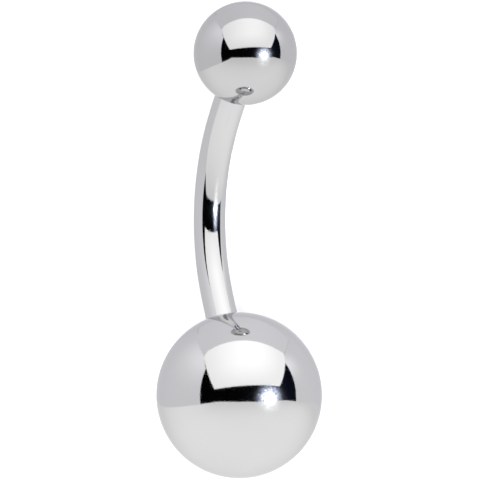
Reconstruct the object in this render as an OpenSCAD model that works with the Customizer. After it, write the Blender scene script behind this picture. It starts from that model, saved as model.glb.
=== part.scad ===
/* [Bar] */
// Thickness of the round bar
bar_d = 1.55; // [1.4:0.05:2]
// Radius of the bend, measured at the bar's centre line
bend_r = 8.05; // [6.5:0.05:12]
// Angle that the bend turns through, in degrees
bend_angle = 66; // [45:0.5:80]
// Straight run from the bend to the shoulder under the small ball
small_run = 1.35; // [0.5:0.05:3]
// Straight run from the bend to the shoulder under the large ball
large_run = 1.5; // [0.5:0.05:3]
// Chamfer round the bar's two shoulders
shoulder_chamfer = 0.05; // [0.02:0.01:0.08]

/* [Posts] */
// Thickness of the posts that hold the balls
post_d = 1.2; // [0.9:0.05:1.25]
// Length of the post in the small ball
small_post = 2; // [1.2:0.1:2.4]
// Length of the post in the large ball
large_post = 3; // [2:0.1:4]
// Chamfer at the tip of each post
post_chamfer = 0.15; // [0.05:0.05:0.3]

/* [Balls] */
// Diameter of the small upper ball
small_ball_d = 5; // [4:0.1:6]
// Diameter of the large lower ball
large_ball_d = 8; // [6:0.1:10]
// Width that the flat on each ball leaves round the bar's shoulder
flat_margin = 0.05; // [0.02:0.01:0.2]
// Countersink at the mouth of each bore
bore_chamfer = 0.1; // [0.05:0.01:0.12]
// Angle of the cone that the drill leaves at the end of each bore
drill_angle = 118; // [90:2:140]

/* [Fits] */
// Gap all round between a post and the wall of its bore
bore_gap = 0.05; // [0.02:0.01:0.08]
// Gap between a shoulder and the flat it screws up to
seat_gap = 0.02; // [0.01:0.01:0.05]
// Gap between the tip of a post and the end of the bore's straight wall
tip_gap = 0.3; // [0.1:0.05:0.5]

/* [Hidden] */

$fn = 96;

bar_r = bar_d / 2;
post_r = post_d / 2;
bore_r = post_r + bore_gap;
small_r = small_ball_d / 2;
large_r = large_ball_d / 2;

// How far a cutting tool runs on past the ball
overcut = 1;

// Distance from a ball's centre to the flat that its shoulder meets
flat_r = bar_r + flat_margin;
small_flat = sqrt(small_r * small_r - flat_r * flat_r);
large_flat = sqrt(large_r * large_r - flat_r * flat_r);

// Distance from each end of the bend to the centre of that end's ball
small_reach = small_run + seat_gap + small_flat;
large_reach = large_run + seat_gap + large_flat;

// The bar is drawn in the XZ plane round the centre of its bend, belly down, with
// the small ball's end towards +X. These are the ball centres there, as [x, z].
half = bend_angle / 2;
small_at = [
    bend_r * sin(half) + small_reach * cos(half),
    -bend_r * cos(half) + small_reach * sin(half)
];
large_at = [
    -bend_r * sin(half) - large_reach * cos(half),
    -bend_r * cos(half) + large_reach * sin(half)
];
span = norm(small_at - large_at);

// Slope in that plane of the line from the large ball to the small one
line_slope = atan2(small_at[1] - large_at[1], small_at[0] - large_at[0]);

// Lying on a table the ring touches it with both balls and the belly of its bar.
// The line between the centres then dips by this much towards the small ball.
dip = asin((large_r - small_r) / span);

// The bend's centre, measured from the large ball along and across that line
along = -large_at[0] * cos(line_slope) - large_at[1] * sin(line_slope);
across = large_at[0] * sin(line_slope) - large_at[1] * cos(line_slope);

// The bar's lowest point is bend_r * sqrt(sin(dip)^2 + u^2) + bar_r below the
// bend's centre, where u = cos(roll) * cos(dip). With that point on the table,
// u is the larger root of a quadratic.
drop = large_r - along * sin(dip) - bar_r;
square_term = bend_r * bend_r - across * across;
constant_term = pow(bend_r * sin(dip), 2) - drop * drop;
root = sqrt(pow(drop * across, 2) - square_term * constant_term);
u = (drop * across + root) / square_term;
roll = acos(min(1, u / cos(dip)));

// The large ball's centre, with the origin under the middle of the whole ring
large_x = (large_r - small_r - span * cos(dip)) / 2;

// Lays what is drawn round the bend's centre down on the table, as the ring rests
module laid_down() {
    translate([large_x, 0, large_r])
        rotate([0, dip, 0])
            rotate([roll, 0, 0])
                rotate([0, line_slope, 0])
                    translate([-large_at[0], 0, -large_at[1]])
                        children();
}

// Carries what is drawn along +Z to one end of the bend, side 1 or -1, so that
// it runs on from there, starting this far out
module at_end(side, out = 0) {
    rotate([0, -side * half, 0])
        translate([side * out, 0, -bend_r])
            rotate([0, side * 90, 0])
                children();
}

// One end of the bar: the straight run, its shoulder and the post beyond it
module bar_end(run, post) {
    rotate_extrude()
        polygon([
            [0, 0],
            [bar_r, 0],
            [bar_r, run - shoulder_chamfer],
            [bar_r - shoulder_chamfer, run],
            [post_r, run],
            [post_r, run + post - post_chamfer],
            [post_r - post_chamfer, run + post],
            [0, run + post]
        ]);
}

// A ball at the origin with its flat facing -Z and a blind bore behind the flat
module bored_ball(ball_r, flat, post) {
    depth = post - seat_gap + tip_gap;
    cone = bore_r / tan(drill_angle / 2);
    difference() {
        sphere(r = ball_r);
        translate([0, 0, -flat])
            rotate_extrude()
                polygon([
                    [0, -overcut],
                    [ball_r, -overcut],
                    [ball_r, 0],
                    [bore_r + bore_chamfer, 0],
                    [bore_r, bore_chamfer],
                    [bore_r, depth],
                    [0, depth + cone]
                ]);
    }
}

module bar() {
    color("gainsboro")
        laid_down()
            union() {
                rotate([90, 90 + half, 0])
                    rotate_extrude(angle = bend_angle)
                        translate([bend_r, 0])
                            circle(r = bar_r);
                at_end(1) bar_end(small_run, small_post);
                at_end(-1) bar_end(large_run, large_post);
            }
}

module small_ball() {
    color("silver")
        laid_down()
            at_end(1, small_reach)
                bored_ball(small_r, small_flat, small_post);
}

module large_ball() {
    color("silver")
        laid_down()
            at_end(-1, large_reach)
                bored_ball(large_r, large_flat, large_post);
}

bar();
small_ball();
large_ball();
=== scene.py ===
# %% [markdown]
# # A navel ring in mirror-polished steel
# The ring is a curved barbell: a bent round bar with a small ball screwed to one end
# and a larger one to the other. It lies on a pale table as it would by itself, on both
# balls and the belly of its bar. A mirror finish has hardly a look of its own: it shows
# the room. So half of this lesson builds smooth metal, and the other half builds the
# small white tent that such jewellery is photographed in.

# %% The frame
import math

import bpy
import numpy as np
from mathutils import Matrix, Vector


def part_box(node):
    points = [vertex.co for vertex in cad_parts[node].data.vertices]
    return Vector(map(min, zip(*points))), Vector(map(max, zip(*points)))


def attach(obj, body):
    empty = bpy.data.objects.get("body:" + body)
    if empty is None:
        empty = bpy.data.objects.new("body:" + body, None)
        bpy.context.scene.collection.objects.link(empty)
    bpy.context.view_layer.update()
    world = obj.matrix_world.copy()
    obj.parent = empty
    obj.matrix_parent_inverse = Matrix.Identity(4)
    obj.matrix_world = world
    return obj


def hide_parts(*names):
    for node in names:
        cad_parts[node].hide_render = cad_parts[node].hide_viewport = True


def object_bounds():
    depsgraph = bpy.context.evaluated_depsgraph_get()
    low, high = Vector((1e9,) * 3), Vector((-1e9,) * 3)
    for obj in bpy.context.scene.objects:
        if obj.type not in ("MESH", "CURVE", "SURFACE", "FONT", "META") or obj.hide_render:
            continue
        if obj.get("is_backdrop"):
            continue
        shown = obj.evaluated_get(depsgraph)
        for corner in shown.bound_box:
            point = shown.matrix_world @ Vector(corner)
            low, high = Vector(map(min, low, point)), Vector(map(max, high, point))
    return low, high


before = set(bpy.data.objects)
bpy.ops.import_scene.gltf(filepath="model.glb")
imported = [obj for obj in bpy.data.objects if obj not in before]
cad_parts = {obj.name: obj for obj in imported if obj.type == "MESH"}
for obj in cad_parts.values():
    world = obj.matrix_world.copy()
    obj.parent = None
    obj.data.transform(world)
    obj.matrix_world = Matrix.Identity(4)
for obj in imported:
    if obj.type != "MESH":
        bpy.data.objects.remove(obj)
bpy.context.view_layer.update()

print("solids in the frame:", sorted(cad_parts))

# %% [markdown]
# ## The ring's own sizes
# These are the sizes that the solids were drawn with, in millimetres. The visible
# pieces could be traced over the solids. Worked out from the same numbers, they meet the
# solids to a few hundredths of a millimetre, and nothing has to be fitted by eye.

# %% Sizes in millimetres
MM = 0.001
BAR_R = 0.775
BEND_R = 8.05
HALF_BEND = math.radians(33)
FLAT_R = BAR_R + 0.05
SEAT_GAP = 0.02
HAIR = 1e-9

SMALL = {"r": 2.5, "run": 1.35, "post": 2.0}
LARGE = {"r": 4.0, "run": 1.5, "post": 3.0}
for end in (SMALL, LARGE):
    end["flat"] = math.sqrt(end["r"] ** 2 - FLAT_R**2)
    end["reach"] = end["run"] + SEAT_GAP + end["flat"]
print("ball centre to bend: small %.2f mm, large %.2f mm" % (SMALL["reach"], LARGE["reach"]))

# %% [markdown]
# ## How it lies
# The bar is described in the plane of its bend, round the bend's centre, belly down.
# Then it is turned three times: until the line between the balls is level, until the
# belly has rolled down to the table, and until the smaller ball has dipped to it too.
# The turns could be found by dropping the ring in a physics run. A ring that touches at
# three points can be worked out exactly, though, and it lies the same each time.

# %% Turns and ends
def about_y(t):
    """Turn by t about Y, from Z towards X."""
    c, s = math.cos(t), math.sin(t)
    return np.array([[c, 0, s], [0, 1, 0], [-s, 0, c]])


def about_x(t):
    """Turn by t about X, from Y towards Z."""
    c, s = math.cos(t), math.sin(t)
    return np.array([[1, 0, 0], [0, c, -s], [0, s, c]])


def end_point(side, reach):
    """A ball's centre in the bend's plane: out along the tangent at that end of the arc."""
    s, c = math.sin(HALF_BEND), math.cos(HALF_BEND)
    return np.array([side * (BEND_R * s + reach * c), 0, -BEND_R * c + reach * s])


small_at, large_at = end_point(1, SMALL["reach"]), end_point(-1, LARGE["reach"])
line = small_at - large_at
span = np.linalg.norm(line)
print("ball centres %.2f mm apart" % span)

# %% Rolled until the belly touches
slope = math.atan2(line[2], line[0])
dip = math.asin((LARGE["r"] - SMALL["r"]) / span)
along, across = about_y(slope)[[0, 2]] @ -large_at

# The belly touches when the bend's centre is sqrt((R sin dip)^2 + (R u)^2) above the
# bar's lowest centre line, with u = cos(roll) cos(dip): the larger root of a quadratic.
drop = LARGE["r"] - along * math.sin(dip) - BAR_R
square = BEND_R**2 - across**2
rest = (BEND_R * math.sin(dip)) ** 2 - drop**2
u = (drop * across + math.sqrt((drop * across) ** 2 - square * rest)) / square
roll = math.acos(min(1.0, u / math.cos(dip)))
print("dip %.2f, roll %.2f degrees" % (math.degrees(dip), math.degrees(roll)))

# %% From the bend's plane to the table
TURN = about_y(dip) @ about_x(roll) @ about_y(slope)
LARGE_AT = np.array([(LARGE["r"] - SMALL["r"] - span * math.cos(dip)) / 2, 0, LARGE["r"]])


def on_table(points):
    """Points of the bend's plane, in millimetres, turned and moved to the frame, in metres."""
    return ((np.asarray(points) - large_at) @ TURN.T + LARGE_AT) * MM


for node, at in (("small_ball", small_at), ("large_ball", large_at)):
    low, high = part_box(node)
    off = np.linalg.norm(on_table(at) - np.array((low + high) / 2)) / MM
    print("%s: %.3f mm from the middle of its solid" % (node, off))

# %% [markdown]
# ## Turned surfaces
# Ball and bar are both turned work: an outline carried round an axis. On the balls the
# axis is straight, on the bar it follows the bend. A sphere primitive would do for a
# distant ball, but it has no flat, no bore and no crisp edge for the light to catch. So
# the outline is written down as it would be cut on a lathe, and every sharp corner gets
# a small round, as polishing gives it.

# %% An outline with eased corners
def straight(a, b, pieces):
    """Evenly spaced points from a to b, both ends included."""
    return np.linspace(a, b, pieces + 1)


def cut_back(points, start, end):
    """A polyline shortened by these lengths at its start and at its end."""
    step = np.linalg.norm(np.diff(points, axis=0), axis=1)
    at = np.concatenate([[0], np.cumsum(step)])
    inside = at[(at > start) & (at < at[-1] - end)]
    keep = np.concatenate([[start], inside, [at[-1] - end]])
    return np.stack([np.interp(keep, at, points[:, k]) for k in (0, 1)], 1)


def outline(stretches, ease, rounds=5):
    """Stretches joined end to end, each corner replaced by a parabola that starts this
    far before it and ends as far after it: (1-t)^2 a + 2t(1-t) corner + t^2 b."""
    last = len(stretches) - 1
    kept = [
        cut_back(s, 0 if i == 0 else ease, 0 if i == last else ease)
        for i, s in enumerate(stretches)
    ]
    t = np.linspace(0, 1, rounds + 2)[1:-1, None]
    made = [kept[0]]
    for i in range(last):
        a, corner, b = kept[i][-1], stretches[i][-1], kept[i + 1][0]
        made += [(1 - t) ** 2 * a + 2 * t * (1 - t) * corner + t**2 * b, kept[i + 1]]
    return np.concatenate(made)


sample = outline([straight([0, 0], [1, 0], 1), straight([1, 0], [1, 1], 1)], ease=0.1)
nearest = np.linalg.norm(sample - [1, 0], axis=1).min()
print("eased by 0.1, a square corner passes %.3f inside the sharp one" % nearest)

# %% [markdown]
# ## One closed skin
# Rings of points become a skin of quads, and a fan of triangles on a single point closes
# each end. A Screw modifier could turn a straight outline too, but it can't follow the
# bend or let a thread fade out. The skin carries two things for the steel: a UV map that
# runs round and along, and an attribute that tells the cut threads and bores from what
# was polished.

# %% Faces and their map
def skin_faces(n, m):
    """Quads between n rings of m points, and fans to the two points after the rings."""
    i, j = np.meshgrid(np.arange(n - 1), np.arange(m), indexing="ij")
    k = (j + 1) % m
    quads = np.stack([i * m + j, i * m + k, (i + 1) * m + k, (i + 1) * m + j], -1)
    a = np.arange(m)
    b = (a + 1) % m
    first = np.stack([b, a, np.full(m, n * m)], 1)
    last = np.stack([(n - 1) * m + a, (n - 1) * m + b, np.full(m, n * m + 1)], 1)
    return quads.reshape(-1, 4), np.concatenate([first, last])


def volume_inside(points, quads):
    """The sum over all quads of a . (b x c + c x d) / 6, positive when they face out. The
    two small fans at the ends are left out of it."""
    a, b, c, d = np.moveaxis(points[quads], 1, 0)
    return np.sum(a * (np.cross(b, c) + np.cross(c, d))) / 6


def wrap_map(mesh, n, m, lengthwise):
    """Once round in u, and lengthwise, in millimetres, in v. In a face that crosses the
    seam, corners from the far side count a whole turn less, so it isn't smeared."""
    index = np.empty(len(mesh.loops), np.int32)
    starts, totals = (np.empty(len(mesh.polygons), np.int32) for _ in range(2))
    mesh.loops.foreach_get("vertex_index", index)
    mesh.polygons.foreach_get("loop_start", starts)
    mesh.polygons.foreach_get("loop_total", totals)
    turn = (index % m) / m
    least = np.repeat(np.minimum.reduceat(turn, starts), totals)
    turn = np.where(turn - least < 0.5, turn, turn - 1)
    v = np.append(lengthwise, [lengthwise[0], lengthwise[-1]])
    ring = np.where(index < n * m, index // m, n + index - n * m)
    uv = mesh.uv_layers.new(name="wrap")
    uv.data.foreach_set("uv", np.stack([turn, v[ring]], 1).astype(np.float32).ravel())


print("3 rings of 4 points make %d quads and %d triangles" % tuple(map(len, skin_faces(3, 4))))

# %% From rings of points to a piece
def turned_piece(name, rings, first, last, machined, lengthwise):
    """A closed skin over rings of points, shape (rings, around, 3), with one more point
    at each end. machined, one value per ring, is 0 on polished and 1 on cut surfaces."""
    n, m, _ = rings.shape
    points = np.concatenate([rings.reshape(-1, 3), [first, last]])
    quads, fans = skin_faces(n, m)
    volume = volume_inside(points - points.mean(0), quads)
    if volume < 0:
        quads, fans = quads[:, ::-1], fans[:, ::-1]
    mesh = bpy.data.meshes.new(name)
    mesh.from_pydata(points.tolist(), [], quads.tolist() + fans.tolist())
    mesh.polygons.foreach_set("use_smooth", np.ones(len(mesh.polygons), bool))
    wrap_map(mesh, n, m, lengthwise)
    cut = mesh.attributes.new("machined", "FLOAT", "POINT")
    values = np.append(np.repeat(machined, m), [machined[0], machined[-1]])
    cut.data.foreach_set("value", values.astype(np.float32))
    mesh.update()
    piece = bpy.data.objects.new(name, mesh)
    bpy.context.scene.collection.objects.link(piece)
    print("%s: %d faces, %.1f mm3" % (name, len(mesh.polygons), abs(volume) / MM**3))
    return piece


# %% [markdown]
# ## Screw threads
# The posts and bores show only when a ball is unscrewed. A real thread is a spiral
# groove, and on a turned surface a spiral is simple: the depth of cut depends on the
# distance along the axis plus the turn. Both ends of the groove fade out, as a die or
# tap leaves them.

# %% Thread
POST_R = 0.6
THREAD_PITCH, THREAD_DEPTH = 0.25, 0.09
FLANK, CREST = 1.25, 0.05


def thread(along_axis, turn, start, stop):
    """Depth of cut from 0 on a crest to 1 in a root: a triangle wave of the distance
    along the axis in pitches plus the turn, made steeper and cut off to give flat crests
    and roots, and eased off over one pitch at both ends."""
    phase = (along_axis / THREAD_PITCH + turn / (2 * np.pi)) % 1
    tooth = np.clip(FLANK * (1 - abs(2 * phase - 1)) - CREST, 0, 1)
    run_in = np.clip((along_axis - start) / THREAD_PITCH, 0, 1)
    run_out = np.clip((stop - along_axis) / THREAD_PITCH, 0, 1)
    return tooth * run_in * run_out


print("threads on the long post: %.0f" % (LARGE["post"] / THREAD_PITCH))

# %% [markdown]
# ## The balls
# A screw ball is turned from rod, drilled and tapped, and given a small flat round the
# hole, so that it closes tight against the bar's shoulder. The outline starts at the
# pole opposite the hole, runs over the sphere to the flat, across the flat, and up the
# threaded bore to the cone that the drill leaves.

# %% Ball outline
BORE_R = POST_R + 0.05
BORE_CHAMFER, TIP_GAP = 0.1, 0.3
DRILL_SLOPE = math.tan(math.radians(59))
SPHERE_STEPS, BORE_STEPS_PER_MM = 150, 32
POLE_START, TIP_R, BALL_EASE = 0.012, 0.02, 0.015


def ball_outline(ball):
    """(radius, height) from the pole over the sphere r (sin a, cos a), the flat and the
    bore to the drill's cone, with the heights where the bore starts and stops."""
    r, flat = ball["r"], ball["flat"]
    mouth, floor_at = -flat + BORE_CHAMFER, -flat + ball["post"] - SEAT_GAP + TIP_GAP
    tip = floor_at + BORE_R / DRILL_SLOPE
    a = np.linspace(POLE_START, math.acos(-flat / r), SPHERE_STEPS)
    threaded = int((floor_at + flat) * BORE_STEPS_PER_MM)
    made = outline([
        r * np.stack([np.sin(a), np.cos(a)], 1),
        straight([FLAT_R, -flat], [BORE_R + BORE_CHAMFER, -flat], 3),
        straight([BORE_R + BORE_CHAMFER, -flat], [BORE_R, mouth], 3),
        straight([BORE_R, mouth], [BORE_R, floor_at], threaded),
        straight([BORE_R, floor_at], [TIP_R, tip - TIP_R / DRILL_SLOPE], 6),
    ], ease=BALL_EASE)
    return made, mouth, floor_at, tip


print("drilled %.2f mm deep into the large ball" % (ball_outline(LARGE)[3] + LARGE["flat"]))

# %% Ball surface
BALL_AROUND = 288
TAP_STOP, TAP_SHARE, CUT_BLEND = 0.2, 0.7, 0.05


def ball_piece(name, ball, side):
    """The outline turned about the post's axis: (radius cos t, radius sin t, height). In
    the bore the radius grows by a share of the thread's depth of cut, and the tap stops
    a little short of the bore's floor."""
    made, mouth, floor_at, tip = ball_outline(ball)
    turn = np.linspace(0, 2 * np.pi, BALL_AROUND, endpoint=False)
    radius, height = made[:, :1], made[:, 1:]
    tap_start = mouth - BORE_CHAMFER / 2
    in_bore = (radius <= BORE_R + HAIR) & (height > tap_start)
    cut = thread(height, turn, tap_start, floor_at - TAP_STOP)
    radius = radius + np.where(in_bore, TAP_SHARE * THREAD_DEPTH * cut, 0)
    local = np.stack([radius * np.cos(turn), radius * np.sin(turn), height + 0 * turn], -1)

    # the ball's own +Z is laid along the bar's end, pointing away from the bend
    tilt = about_y(-side * HALF_BEND) @ about_y(side * np.pi / 2)
    centre = end_point(side, ball["reach"])
    poles = on_table(np.array([[0, 0, ball["r"]], [0, 0, tip]]) @ tilt.T + centre)
    length = np.concatenate([[0], np.cumsum(np.linalg.norm(np.diff(made, axis=0), axis=1))])
    machined = np.clip((length - length[SPHERE_STEPS]) / CUT_BLEND, 0, 1)
    return turned_piece(name, on_table(local @ tilt.T + centre), *poles, machined, length)


small_ball = ball_piece("small_ball_polished", SMALL, 1)
large_ball = ball_piece("large_ball_polished", LARGE, -1)

# %% [markdown]
# ## The bar
# The bar is one length of wire: a threaded post, a shoulder, the bend between two short
# straight runs, and the same again. A curve with a bevel would give the bend, but not the
# shoulders or the threads. So the centre line is the sum of small steps whose angle grows
# along the bend, and the outline is carried along it. Wire springs back, so it doesn't
# turn from straight to round at one point. A mirror finish shows that first, and so the
# angle is averaged over a short length.

# %% Centre line
POST_END = LARGE["post"]
BEND_START = POST_END + LARGE["run"]
SHOULDER_END = BEND_START + 2 * HALF_BEND * BEND_R + SMALL["run"]
BAR_END = SHOULDER_END + SMALL["post"]
BETWEEN_SHOULDERS = SHOULDER_END - POST_END
EASED = 2.0
ALONG = np.linspace(0, BAR_END, 3001)


def arc_angle(s):
    """The tangent's angle at distance s along an arc with straight ends."""
    return np.clip((s - BEND_START) / BEND_R - HALF_BEND, -HALF_BEND, HALF_BEND)


def stepped(angle):
    """The line that starts at 0 and whose every small step has the next of these angles:
    the sum of (cos a, sin a) ds."""
    way = np.stack([np.cos(angle), np.sin(angle)], 1)
    return np.concatenate([[[0, 0]], np.cumsum((way[1:] + way[:-1]) / 2 * ALONG[1], axis=0)])


window = np.linspace(-EASED / 2, EASED / 2, 41)
eased_angle = arc_angle(ALONG[:, None] + window).mean(1)

# averaging shortens the way between the shoulders by a hair, which is given back evenly
short = stepped(arc_angle(ALONG))[-1] - stepped(eased_angle)[-1]
share = np.clip((ALONG - POST_END) / BETWEEN_SHOULDERS, 0, 1)[:, None]
outward = np.array([-math.cos(HALF_BEND), math.sin(HALF_BEND)])
first_tip = large_at[[0, 2]] + (LARGE["post"] - SEAT_GAP - LARGE["flat"]) * outward
wire = first_tip + stepped(eased_angle) + short * share


def centre_line(s):
    """Point and inward normal at distance s from the tip of the large ball's post."""
    x, z, a = (np.interp(s, ALONG, value) for value in (wire[:, 0], wire[:, 1], eased_angle))
    return np.stack([x, 0 * x, z], -1), np.stack([-np.sin(a), 0 * a, np.cos(a)], -1)


print("easing takes %.3f mm off the way" % np.linalg.norm(short))
print("wire %.2f mm long, %.2f mm between the shoulders" % (BAR_END, BETWEEN_SHOULDERS))

# %% Bar outline
SHOULDER_CHAMFER, TIP_CHAMFER, BAR_EASE = 0.05, 0.15, 0.012
POST_STEPS_PER_MM, BODY_STEPS = 36, 150


def post_outline(at, way, length):
    """Stretches (distance, radius) of a post that starts at a distance and runs one way:
    the tip, its chamfer, the threaded side, the shoulder and the shoulder's chamfer."""
    marks = at + way * np.array([0, TIP_CHAMFER, length, length + SHOULDER_CHAMFER])
    tip, side, shoulder, body = marks
    return [
        straight([tip, TIP_R], [tip, POST_R - TIP_CHAMFER], 4),
        straight([tip, POST_R - TIP_CHAMFER], [side, POST_R], 4),
        straight([side, POST_R], [shoulder, POST_R], int(length * POST_STEPS_PER_MM)),
        straight([shoulder, POST_R], [shoulder, BAR_R - SHOULDER_CHAMFER], 3),
        straight([shoulder, BAR_R - SHOULDER_CHAMFER], [body, BAR_R], 2),
    ]


first_post = post_outline(0.0, 1, LARGE["post"])
body = straight(first_post[-1][-1], [SHOULDER_END - SHOULDER_CHAMFER, BAR_R], BODY_STEPS)
second_post = [s[::-1] for s in post_outline(BAR_END, -1, SMALL["post"])][::-1]
bar_outline = outline(first_post + [body] + second_post, ease=BAR_EASE)
print("bar outline: %d points" % len(bar_outline))

# %% Bar surface
BAR_AROUND = 160
DIE_STOP, CUT_EDGE = 0.1, 0.01
s, radius = bar_outline[:, 0], bar_outline[:, 1:]
turn = np.linspace(0, 2 * np.pi, BAR_AROUND, endpoint=False)
on_post = (radius <= POST_R + HAIR) & ((s < POST_END) | (s > SHOULDER_END))[:, None]
cut = thread(s[:, None], turn, TIP_CHAMFER, POST_END - DIE_STOP)
cut = cut + thread(s[:, None], turn, SHOULDER_END + DIE_STOP, BAR_END - TIP_CHAMFER)
radius = radius - np.where(on_post, THREAD_DEPTH * cut, 0)

# a ring is point + radius (cos t normal + sin t sideways)
point, normal = centre_line(s)
sideways = np.array([0.0, 1.0, 0.0])
round_it = np.cos(turn)[:, None] * normal[:, None] + np.sin(turn)[:, None] * sideways
rings = on_table(point[:, None] + radius[..., None] * round_it)
ends = on_table(centre_line(np.array([0.0, BAR_END]))[0])
machined = ((s < POST_END + CUT_EDGE) | (s > SHOULDER_END - CUT_EDGE)).astype(float)
bar = turned_piece("bar_polished", rings, *ends, machined, s)

# %% [markdown]
# ## Shader sums as Python sums
# A finish is a set of small sums. They could be drawn as nodes one by one. A class that
# wraps one output of a node, and whose operators add Math nodes, lets them be written
# and read as sums instead. Every other node comes from its one method.

# %% One output of a node, to add, subtract and multiply
class Amount:
    """One output in a node tree. Operators add Math nodes; node() adds any other."""

    def __init__(self, tree, socket=None):
        self.tree, self.socket = tree, socket

    def node(self, kind, settings=None, inputs=None, output=0):
        """Adds a node, its settings first and then its sockets' values or links, and
        gives one of its outputs."""
        made = self.tree.nodes.new(kind)
        for key, value in (settings or {}).items():
            setattr(made, key, value)
        for key, value in (inputs or {}).items():
            if isinstance(value, Amount):
                self.tree.links.new(value.socket, made.inputs[key])
            else:
                made.inputs[key].default_value = value
        return Amount(self.tree, made.outputs[output] if made.outputs else None)

    def maths(self, kind, a, b):
        """One Math node of this kind on a and b."""
        return self.node("ShaderNodeMath", {"operation": kind}, {0: a, 1: b})

    def __add__(self, other):
        return self.maths("ADD", self, other)

    def __radd__(self, other):
        return self.maths("ADD", other, self)

    def __sub__(self, other):
        return self.maths("SUBTRACT", self, other)

    def __rsub__(self, other):
        return self.maths("SUBTRACT", other, self)

    def __mul__(self, other):
        return self.maths("MULTIPLY", self, other)

    def __rmul__(self, other):
        return self.maths("MULTIPLY", other, self)

    def __abs__(self):
        return self.maths("ABSOLUTE", self, 0.0)


print("operators that add a Math node: + - * and abs()")

# %% Helpers that every finish uses
def blank(owner):
    """Empties the nodes of a material or a world, and gives a first handle on them."""
    owner.use_nodes = True
    owner.node_tree.nodes.clear()
    return Amount(owner.node_tree)


def ramp(amount, low, high):
    """0 where the amount is below low, 1 above high, and a straight line between."""
    return amount.node(
        "ShaderNodeMapRange", {"clamp": True}, {"Value": amount, "From Min": low, "From Max": high}
    )


def noise(where, scale, detail, distortion=0.0):
    """Smooth noise from 0 to 1, scale being its ripples per metre."""
    return where.node(
        "ShaderNodeTexNoise", None,
        {"Vector": where, "Scale": scale, "Detail": detail, "Distortion": distortion},
    )


def mixed(share, a, b):
    """Colour a where share is 0, and colour b where it is 1."""
    return share.node("ShaderNodeMix", {"data_type": "RGBA"}, {0: share, 6: a, 7: b}, output=2)


print("finishes so far:", len(bpy.data.materials))

# %% [markdown]
# ## Mirror-polished steel
# Jewellery steel is polished until it mirrors. It gives back a little over half of the
# light, which is why a mirror image within a mirror image, as where the bar meets a
# ball, is so much darker. A single low roughness would do for a distant view, but a lens
# close up still finds what the buffing wheel left: hair-fine swirls and a scatter of
# dulled specks. They can't be seen in a white reflection or a black one, only as a
# sparkle round something bright. So they go into the roughness, which also softens the
# lamp a little, and the bump tips the surface by less than a hair. A bar is buffed along
# its length, so it spreads light more one way than the other: that is its anisotropy.

# %% Steel
# ripples per metre of the dulled specks, the swirls and the slow drift of the polish
SPECKS, SWIRLS, DRIFT = 13000.0, 1700.0, 420.0
SPECKS_FROM, SPECKS_TO = 0.56, 0.66
SWIRL_WIDTH, SWIRL_WAVER, SWIRL_SHARE = 0.02, 1.6, 0.4
DRIFT_FROM, DRIFT_TO, DRIFT_ROUGH = 0.35, 0.65, 0.006
DRIFT_LIFT, DRIFT_BLUE = 1.02, 1.026
CUT_ROUGH, CUT_SHARE, CUT_TONE = 0.24, 0.7, (0.42, 0.41, 0.40, 1)
EDGE_TONE = (0.84, 0.84, 0.85, 1)
PIT_DEPTH = 5e-7


def polished_steel(name, tone, gloss, sparkle, drawn=0.0):
    """Metal of this grey. gloss is its roughness, sparkle the roughness that specks and
    swirls add, and drawn, from 0 to 1, how much more light it spreads one way than the
    other, as a bar that was polished lengthwise does. Cut threads and bores are duller."""
    steel = bpy.data.materials.new(name)
    paint = blank(steel)
    here = paint.node("ShaderNodeTexCoord", output="Object")
    cut = paint.node("ShaderNodeAttribute", {"attribute_name": "machined"}, output="Fac")
    drift = ramp(noise(here, DRIFT, 2.0), DRIFT_FROM, DRIFT_TO)
    grain = noise(here, SPECKS, 2.0)
    specks = ramp(grain, SPECKS_FROM, SPECKS_TO)
    swirls = 1 - ramp(abs(noise(here, SWIRLS, 1.0, SWIRL_WAVER) - 0.5), 0.0, SWIRL_WIDTH)
    polish = gloss + DRIFT_ROUGH * drift
    rough = polish + sparkle * specks + SWIRL_SHARE * sparkle * swirls + CUT_ROUGH * cut
    lifted = (tone * DRIFT_LIFT, tone * DRIFT_LIFT, tone * DRIFT_BLUE, 1)
    clean = mixed(drift, (tone, tone, tone, 1), lifted)
    colour = mixed(CUT_SHARE * cut, clean, CUT_TONE)
    pits = grain - 0.5 * specks
    bump = paint.node("ShaderNodeBump", None, {"Distance": PIT_DEPTH, "Height": pits})
    shader = paint.node(
        "ShaderNodeBsdfPrincipled", None,
        {
            "Base Color": colour,
            "Metallic": 1.0,
            "Specular Tint": EDGE_TONE,
            "Roughness": rough,
            "Anisotropic": drawn,
            "Anisotropic Rotation": 0.25,
            "Normal": bump,
        },
    )
    paint.node("ShaderNodeOutputMaterial", None, {"Surface": shader})
    return steel


swirl_mm, speck_mm = 1 / SWIRLS / MM, 1 / SPECKS / MM
print("one ripple of the swirls is %.2f mm, and of the specks %.2f mm" % (swirl_mm, speck_mm))

# %% Each piece in its steel
LARGE_TONE, SMALL_TONE, BAR_TONE = 0.58, 0.505, 0.56
BALL_GLOSS, BAR_GLOSS, SPARKLE, LENGTHWISE = 0.045, 0.040, 0.02, 0.8
bar_steel = polished_steel("steel_bar", BAR_TONE, BAR_GLOSS, SPARKLE, LENGTHWISE)
small_steel = polished_steel("steel_small_ball", SMALL_TONE, BALL_GLOSS, SPARKLE)
large_steel = polished_steel("steel_large_ball", LARGE_TONE, BALL_GLOSS, SPARKLE)
for piece, node, slot, steel in (
    (bar, "bar", "bar_steel", bar_steel),
    (small_ball, "small_ball", "ball_steel", small_steel),
    (large_ball, "large_ball", "ball_steel", large_steel),
):
    piece.data.materials.append(steel)
    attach(piece, node)
    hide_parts(node)

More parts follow.
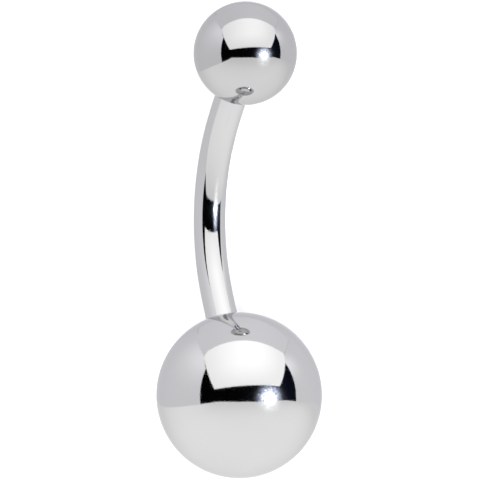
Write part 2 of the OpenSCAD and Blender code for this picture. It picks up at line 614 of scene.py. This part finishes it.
# %% [markdown]
# ## The camera
# In the picture the small ball is straight above the large one, and the bar bulges to
# the left and away. How far it is turned away can't be read off the bar alone. Trial
# renders held against the mirror images of the bar in the balls gave about 65 degrees.
# The two balls mirror the same tent slightly apart. Of distances from 120 to 800 mm for
# the lens, those from 180 to 250 mm suited both images best, and it stands at 250.

# %% Directions of the picture
PX_PER_MM = 20.752
FRAME_PX = 480
SMALL_PX, LARGE_PX = (245.30, 53.27), (239.28, 395.20)
TURNED_AWAY = math.radians(64.66)


def unit(v):
    """The same direction, one long."""
    return v / np.linalg.norm(v)


up_line = unit(TURN @ line)
bulge = TURN @ np.array([0.0, 0.0, -1.0])
bulge = unit(bulge - up_line * (bulge @ up_line))
ahead = math.sin(TURNED_AWAY) * bulge - math.cos(TURNED_AWAY) * np.cross(up_line, bulge)
across_line = np.cross(ahead, up_line)
lean = math.atan2(SMALL_PX[0] - LARGE_PX[0], LARGE_PX[1] - SMALL_PX[1])
up = math.cos(lean) * up_line - math.sin(lean) * across_line
right = np.cross(ahead, up)
print("the lens looks down by %.1f degrees" % math.degrees(math.asin(-ahead[2])))

# %% Camera
DISTANCE = 250.0
aim = (
    LARGE_AT
    + right * (FRAME_PX / 2 - LARGE_PX[0]) / PX_PER_MM
    + up * (LARGE_PX[1] - FRAME_PX / 2) / PX_PER_MM
)
lens = bpy.data.cameras.new("camera")
camera = bpy.data.objects.new("camera", lens)
bpy.context.scene.collection.objects.link(camera)
bpy.context.scene.camera = camera
axes = Matrix(np.stack([right, up, -ahead], 1).tolist()).to_4x4()
camera.matrix_world = Matrix.Translation(Vector((aim - ahead * DISTANCE) * MM)) @ axes
lens.sensor_width = 36.0
lens.lens = lens.sensor_width * DISTANCE * PX_PER_MM / FRAME_PX
lens.clip_start, lens.clip_end = 0.02, 10.0
height = camera.matrix_world.translation.z / MM
print("lens %.0f mm, %.0f mm above the table" % (lens.lens, height))

# %% [markdown]
# ## The table under the ring
# A plain pale sheet catches the soft shadow that shows where the ring touches. It could
# be mirrored in the metal as well, but only the eye and the shadows meet it here: what
# the metal mirrors is the tent of the next cells, whose brightness is set by itself.

# %% Ruled sheets
def between(near, far, rows=2, columns=2):
    """A ruled sheet: near and far are chains of points, equally spaced in u, and the
    sheet is (1 - v) near(u) + v far(u). Gives points, faces, u and v."""
    u, v = np.meshgrid(np.linspace(0, 1, columns), np.linspace(0, 1, rows))
    edges = []
    for chain in (near, far):
        chain = np.asarray(chain, float)
        knots = np.linspace(0, 1, len(chain))
        edges.append(np.stack([np.interp(u, knots, chain[:, k]) for k in range(3)], -1))
    points = (1 - v[..., None]) * edges[0] + v[..., None] * edges[1]
    i, j = np.meshgrid(np.arange(rows - 1), np.arange(columns - 1), indexing="ij")
    at = (i * columns + j).ravel()
    faces = np.stack([at, at + 1, at + columns + 1, at + columns], 1)
    return points.reshape(-1, 3), faces, u.ravel(), v.ravel()


def stage_sheet(name, points, faces):
    """A sheet of these points, in millimetres, that isn't part of the ring."""
    mesh = bpy.data.meshes.new(name)
    mesh.from_pydata((points * MM).tolist(), [], faces.tolist())
    made = bpy.data.objects.new(name, mesh)
    bpy.context.scene.collection.objects.link(made)
    made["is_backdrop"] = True
    return made


side_a, side_b = [(0, 0, 0), (1, 0, 0)], [(0, 1, 0), (1, 1, 0)]
print("3 rows of 4 points make %d faces" % len(between(side_a, side_b, rows=3, columns=4)[1]))

# %% Floor
FLOOR_HALF = 3000.0
MOTTLE = 60.0
points, faces, _, _ = between(
    [(-FLOOR_HALF, -FLOOR_HALF, 0), (FLOOR_HALF, -FLOOR_HALF, 0)],
    [(-FLOOR_HALF, FLOOR_HALF, 0), (FLOOR_HALF, FLOOR_HALF, 0)],
)
floor = stage_sheet("floor", points, faces)
pale = bpy.data.materials.new("pale_table")
paint = blank(pale)
here = paint.node("ShaderNodeTexCoord", output="Object")
mottle = ramp(noise(here, MOTTLE, 4.0), 0.3, 0.7)
tone = mixed(mottle, (0.93, 0.93, 0.93, 1), (0.95, 0.95, 0.95, 1))
surface = paint.node(
    "ShaderNodeBsdfPrincipled", None,
    {"Base Color": tone, "Roughness": 0.9, "Specular IOR Level": 0.0},
)
paint.node("ShaderNodeOutputMaterial", None, {"Surface": surface})
floor.data.materials.append(pale)
floor.visible_glossy = False
print("floor: %.0f m across" % (2 * FLOOR_HALF * MM))

# %% [markdown]
# ## The white tent
# Each ball mirrors the same tent from its own place, so the two images together tell
# where its walls stood: a table below, white walls to both sides, a bright panel that
# leans over the front, and the black opening that the lens looks in through, with one
# small lamp in it. A picture of a studio wrapped round the world would give both balls
# the same image. Cards at their real distances give each ball its own, so that is what
# stands there, in the camera's own directions. They glow, the metal mirrors them, and
# nothing else sees them.

# %% Places and light of the cards
def seen(points):
    """Points x right, y up and z towards the camera from the large ball, in mm."""
    x, y, z = np.asarray(points, float).T
    return LARGE_AT + np.outer(x, right) + np.outer(y, up) - np.outer(z, ahead)


def glowing(name, see_through=False):
    """Light as bright as the card's own glow attribute says. A see-through card adds
    its light to whatever stands behind it."""
    made = bpy.data.materials.new(name)
    paint = blank(made)
    glow = paint.node("ShaderNodeAttribute", {"attribute_name": "glow"}, output="Color")
    light = paint.node("ShaderNodeEmission", None, {"Color": glow, "Strength": 1.0})
    if see_through:
        clear = paint.node("ShaderNodeBsdfTransparent")
        light = paint.node("ShaderNodeAddShader", None, {0: light, 1: clear})
    paint.node("ShaderNodeOutputMaterial", None, {"Surface": light})
    return made


card_light, added_light = glowing("card_light"), glowing("added_light", see_through=True)
print("light for the cards:", card_light.name, "and", added_light.name)


# %% Cards and how they look
CARD_POINTS = 65


def card(name, near, far, look, tint=(1.0, 1.0, 1.0)):
    """A glowing ruled sheet that only mirrors see. look(x, y, z, u, v) is how bright it
    is to look in the large ball, so it glows by that over the steel's own grey."""
    points, faces, u, v = between(near, far, rows=CARD_POINTS, columns=CARD_POINTS)
    made = stage_sheet(name, seen(points), faces)
    looks = look(*points.T, u, v) + 0 * u
    glow = looks[:, None] / LARGE_TONE * np.array(tint)
    colour = np.concatenate([glow, np.ones((len(u), 1))], 1)
    layer = made.data.attributes.new("glow", "FLOAT_COLOR", "POINT")
    layer.data.foreach_set("color", colour.astype(np.float32).ravel())
    made.data.materials.append(card_light)
    made.visible_camera = made.visible_diffuse = made.visible_shadow = False
    made.visible_transmission = made.visible_volume_scatter = False
    print("%s: looks %.2f to %.2f" % (name, looks.min(), looks.max()))
    return made


def hill(x, middle, width):
    """A smooth hill of height 1: exp(-((x - middle) / width)^2)."""
    return np.exp(-(((x - middle) / width) ** 2))


def even(level):
    """A look that is the same all over."""
    return lambda x, y, z, u, v: level


# %% Table
WALL_L, WALL_R, BACK, GROUND = -129.0, 263.0, -300.0, -27.2
WALL_R_BACK = WALL_R + 37
LAMP_AZIMUTH, LAMP_HEIGHT = math.radians(42.6), math.radians(-2.8)
LAMP_AWAY, LAMP_WIDTH, LAMP_PEAK = 300.0, 13.5, 1.3
LAMP_SEED, LAMP_GRAIN = 5, 2.0
to_lamp = np.array([
    math.sin(LAMP_AZIMUTH) * math.cos(LAMP_HEIGHT),
    math.sin(LAMP_HEIGHT),
    math.cos(LAMP_AZIMUTH) * math.cos(LAMP_HEIGHT),
])


def lamp_look(x, y, z, u, v):
    """Round light with a flat top, exp(-(a / width)^3), over the angle a in degrees
    between a point and the lamp, as the large ball sees it, and sprinkled lighter and
    darker by gamma noise whose mean is 1."""
    away = np.sqrt(x**2 + y**2 + z**2)
    off = np.degrees(np.arccos(np.stack([x, y, z], 1) @ to_lamp / away))
    glow = LAMP_PEAK * np.exp(-((off / LAMP_WIDTH) ** 3))
    return glow * np.random.default_rng(LAMP_SEED).gamma(LAMP_GRAIN, 1 / LAMP_GRAIN, len(x))


def table_look(x, y, z, u, v):
    """Paler in the middle, duller far behind, and lit up below the lamp."""
    return 0.57 + 0.15 * hill(x, 10, 170) * hill(z, 10, 75) + 0.25 * lamp_look(x, y, z, u, v)


card("tent_table",
     [(-60, GROUND, 210), (40, GROUND, 215), (162, GROUND, 170), (285, GROUND, 125)],
     [(-60, GROUND, BACK), (60, GROUND, BACK), (180, -35, BACK), (300, -42, BACK)],
     table_look)
card("tent_table_rise",
     [(-105, -25.5, 180), (-78, -16.5, 56), (-79, -15.3, -6), (-81, -14.5, -71),
      (-100, -15, BACK)],
     [(-60, GROUND, 210), (-60, GROUND, 56), (-60, GROUND, -6), (-60, GROUND, -71),
      (-60, GROUND, BACK)],
     table_look)

# %% Walls
COOL = (0.985, 0.985, 1.02)


def left_look(x, y, z, u, v):
    """Bright as the panel where its front edge meets it, and duller down and back."""
    return 0.535 + 0.18 * hill(y, 125, 75) * hill(z, 50, 110)


def right_look(x, y, z, u, v):
    """Bright high up at its front edge, and duller down and back."""
    return 0.56 + 0.20 * hill(y, 165, 70) * hill(z, 30, 90)


def back_look(x, y, z, u, v):
    """A little brighter towards the right."""
    return 0.50 + 0.06 * u


card("tent_left", [(WALL_L, -60, 89), (WALL_L, 105, 89)],
     [(WALL_L, -60, BACK), (WALL_L, 430, BACK)], left_look, COOL)
card("tent_right", [(WALL_R, -60, 20), (WALL_R, 189, 27)],
     [(WALL_R_BACK, -60, BACK), (WALL_R_BACK, 530, BACK)], right_look, COOL)
card("tent_back", [(WALL_L, -70, BACK), (WALL_R_BACK, -70, BACK)],
     [(WALL_L, 230, BACK), (WALL_R_BACK, 360, BACK)], back_look, COOL)

# %% Roof and leaning panel
PANEL_TL, PANEL_TR = (WALL_L, 155.0, 28.0), (WALL_R, 242.0, -30.0)
PANEL_BL, PANEL_BR = (WALL_L - 33, 46.0, 236.0), (WALL_R + 81, 82.0, 207.0)
CUT_CORNER = (WALL_L, 143.5, 42.0)
ROOF_BACK_L, ROOF_BACK_R = (WALL_L, 202, BACK), (WALL_R_BACK, 326, BACK)
PANEL_BOW = 17.6


def bowed(a, b, by, pieces=24):
    """A chain from a to b that bulges by this much in the middle: 4t(1-t) by."""
    t = np.linspace(0, 1, pieces + 1)[:, None]
    a, b, by = np.array(a), np.array(b), np.array(by)
    return a + (b - a) * t + 4 * t * (1 - t) * by


def roof_look(x, y, z, u, v):
    """Nearly even, a little brighter in the middle and towards the right."""
    return 0.55 + 0.03 * u + 0.03 * hill(u, 0.45, 0.25)


def panel_look(x, y, z, u, v):
    """Lit through from above: brightest near the middle and near its top."""
    return 0.77 + 0.07 * u + 0.21 * hill(u, 0.42, 0.30) * np.clip(v * 1.9, 0, 1)


panel_top = bowed(PANEL_TL, PANEL_TR, (0, 0, PANEL_BOW))
panel_top[0] = CUT_CORNER
card("tent_roof", panel_top, [ROOF_BACK_L, ROOF_BACK_R], roof_look, COOL)
card("tent_panel", [PANEL_BL, PANEL_BR], panel_top, panel_look)

# %% Seams, a gap and the open side
SEAM_START, SEAM_STOP, SEAM_BELOW = 1.0, 5.0, 2.0
SEAM_LOOK, GAP_LOOK, OPEN_LOOK = 0.40, 0.03, 0.003
NIGHT_BLUE = (0.7, 0.9, 2.2)

# where a wall meets the roof, a seam shows as a slightly darker strip
for name, inward, start, stop in (
    ("seam_left", 1, PANEL_TL, ROOF_BACK_L),
    ("seam_right", -1, PANEL_TR, ROOF_BACK_R),
):
    meeting = np.array([start, stop]) - [0, SEAM_BELOW, 0]
    near, far = meeting + [inward * SEAM_START, 0, 0], meeting + [inward * SEAM_STOP, 0, 0]
    card(name, near, far, even(SEAM_LOOK), COOL)
card("seam_gap", [(WALL_R - 2, 238, -26), (WALL_R - 7, 238, -26)],
     [(WALL_R - 2, 224, -13), (WALL_R - 6, 224, -13)], even(GAP_LOOK))
card("side_opening", [(500, -400, 600), (500, 1000, 600)],
     [(500, -400, -60), (500, 1000, -60)], even(OPEN_LOOK), NIGHT_BLUE)

# %% [markdown]
# ## The lamp
# The one bright point in both balls is a small lamp in the opening, with a glow round it.
# A lone lamp would be a hard white dot, and a wide one would blow out the dark round it.
# So it is made of two: a see-through card whose glow falls away from its middle, and a
# small disc of real light in front of that.

# %% Lamp in the opening
LAMP_EDGE = math.radians(27)
LAMP_TINT = (0.88, 0.94, 1.2)
side = unit(np.cross([0, 1, 0], to_lamp))
rise = np.cross(to_lamp, side)
reach = LAMP_AWAY * math.tan(LAMP_EDGE)
halo = card("lamp_halo",
            [to_lamp * LAMP_AWAY + reach * (p * side - rise) for p in (-1, 1)],
            [to_lamp * LAMP_AWAY + reach * (p * side + rise) for p in (-1, 1)],
            lamp_look, LAMP_TINT)
halo.data.materials[0] = added_light

# %% Its bright core
CORE_RADIUS, CORE_WATTS, CORE_AHEAD = 10.6, 10.6, 2.0
bulb = bpy.data.lights.new("lamp_core", "AREA")
bulb.shape, bulb.size = "DISK", 2 * CORE_RADIUS * MM
bulb.energy = CORE_WATTS
bulb.color = (0.75, 0.85, 1.0)
core = bpy.data.objects.new("lamp_core", bulb)
bpy.context.scene.collection.objects.link(core)
core.location = Vector(seen([to_lamp * (LAMP_AWAY - CORE_AHEAD)])[0] * MM)
core.rotation_euler = (Vector(LARGE_AT * MM) - core.location).to_track_quat("-Z", "Y").to_euler()
core.visible_camera = core.visible_diffuse = False
print("core of the lamp: %.0f mm across" % (2 * CORE_RADIUS))

# %% [markdown]
# ## Soft light on the table
# The table in the picture is almost white, with only a soft dark where the balls and the
# belly touch. An even sky alone would leave it flat, and a lamp from the side would throw
# a long shadow. So a wide light stands near the lens, hidden from the mirror, and most
# of the shadow that it makes falls behind the ring.

# %% Lights and background
SOFT_ACROSS, SOFT_WATTS, SOFT_AT = 0.35, 0.27, (0, 60, 420)
SKY = 1.4
area = bpy.data.lights.new("soft_light", "AREA")
area.shape, area.size = "DISK", SOFT_ACROSS
area.energy = SOFT_WATTS
soft = bpy.data.objects.new("soft_light", area)
bpy.context.scene.collection.objects.link(soft)
soft.location = Vector(seen([SOFT_AT])[0] * MM)
soft.rotation_euler = (Vector((0, 0, 0)) - soft.location).to_track_quat("-Z", "Y").to_euler()
soft.visible_glossy = False

# the eye and the table get a pale sky, and the metal a nearly black one
world = bpy.data.worlds.new("studio")
bpy.context.scene.world = world
sky = blank(world)
in_mirror = sky.node("ShaderNodeLightPath", output="Is Glossy Ray")
pale_sky = sky.node("ShaderNodeBackground", None, {"Color": (SKY, SKY, SKY, 1)})
dark_sky = sky.node("ShaderNodeBackground", None, {"Color": (0.001, 0.001, 0.0014, 1)})
either = sky.node("ShaderNodeMixShader", None, {0: in_mirror, 1: pale_sky, 2: dark_sky})
sky.node("ShaderNodeOutputWorld", None, {"Surface": either})
bpy.context.scene.view_settings.view_transform = "Standard"

# %% [markdown]
# ## Measuring what was made
# The last step prints the box round the visible ring. A ruler on the picture would
# tell less, because the lens is close.

# %% Sizes, for the record
low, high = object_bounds()
print("visible ring: %.2f x %.2f x %.2f mm" % tuple((high - low) / MM))
